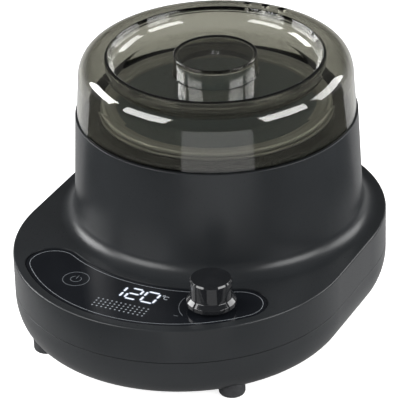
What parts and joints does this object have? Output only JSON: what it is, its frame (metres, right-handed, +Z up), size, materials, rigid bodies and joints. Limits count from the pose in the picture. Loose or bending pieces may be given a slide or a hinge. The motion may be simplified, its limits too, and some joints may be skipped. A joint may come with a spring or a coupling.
{
  "type": "wax warmer",
  "caption": "Tabletop wax warmer: drum on an obround base, smoked lift-off lid with a sunken grip, lift-out pot, and a touch panel with a display and a press-and-turn knob.",
  "frame": {"origin": "on the table, under the middle of the obround base", "axes": "+Z up; -Y to the front, where the control panel is; +Y to the back, where the drum stands and the mains inlet is; +X to the right of someone in front of it"},
  "size_m": [0.177, 0.2204, 0.1362],
  "materials": {
    "case_plastic": "fine satin texture",
    "smoked_clear": "clear, smoked, polished",
    "gloss_black": "polished",
    "heat_plastic": "moulded, matt",
    "bare_aluminium": "satin",
    "plated_steel": "zinc plated",
    "soft_rubber": "matt",
    "mica_sheet": "pressed sheet",
    "glass_fibre": "felted",
    "board_laminate": "lacquered",
    "white_plastic": "moulded",
    "relay_plastic": "moulded",
    "terminal_plastic": "moulded"
  },
  "bodies": {
    "base": {"upper_shell": "case_plastic", "lower_shell": "case_plastic", "chamber_ring": "heat_plastic", "heating_well": "bare_aluminium", "heater_band": "mica_sheet", "heat_sleeve": "glass_fibre", "clamp_screw": "plated_steel", "temperature_sensor": "bare_aluminium", "sensor_clip": "plated_steel", "heat_cutout": "heat_plastic", "control_panel": "gloss_black", "encoder_body": "plated_steel", "control_board": "board_laminate", "display_module": "white_plastic", "dot_field_module": "white_plastic", "touch_spring": "plated_steel", "buzzer": "heat_plastic", "power_board": "board_laminate", "supply_block": "heat_plastic", "power_relay": "relay_plastic", "filter_capacitor": "heat_plastic", "terminal_block": "terminal_plastic", "mains_fuse": "white_plastic", "mains_inlet": "heat_plastic", "inlet_pin_left": "plated_steel", "inlet_pin_right": "plated_steel", "foot_front_left": "soft_rubber", "foot_front_right": "soft_rubber", "foot_rear_left": "soft_rubber", "foot_rear_right": "soft_rubber", "case_screw_front_left": "plated_steel", "case_screw_front_right": "plated_steel", "case_screw_rear_left": "plated_steel", "case_screw_rear_right": "plated_steel", "ring_screw_1": "plated_steel", "ring_screw_2": "plated_steel", "ring_screw_3": "plated_steel", "panel_board_screw_left": "plated_steel", "panel_board_screw_right": "plated_steel", "panel_board_screw_back": "plated_steel", "power_board_screw_left": "plated_steel", "power_board_screw_right": "plated_steel"},
    "pot": {"wax_pot": "bare_aluminium"},
    "lid": {"lid": "smoked_clear"},
    "knob_press": {"encoder_plunger": "white_plastic"},
    "knob": {"control_knob": "gloss_black", "encoder_shaft": "bare_aluminium"}
  },
  "joints": [
    {"name": "pot_lift", "type": "slide", "parent": "base", "child": "pot", "axis": [0, 0, 1], "range_m": [0, 0.09]},
    {"name": "lid_lift", "type": "slide", "parent": "pot", "child": "lid", "axis": [0, 0, 1], "range_m": [0, 0.08]},
    {"name": "knob_push", "type": "slide", "parent": "base", "child": "knob_press", "axis": [0, 0, -1], "range_m": [0, 0.0005], "stiffness_N_per_m": 4000, "springref_m": -0.0006},
    {"name": "knob_turn", "type": "hinge", "parent": "knob_press", "child": "knob", "pos_m": [0.04137, -0.07437, 0.05], "axis": [0, 0, 1], "continuous": true}
  ]
}
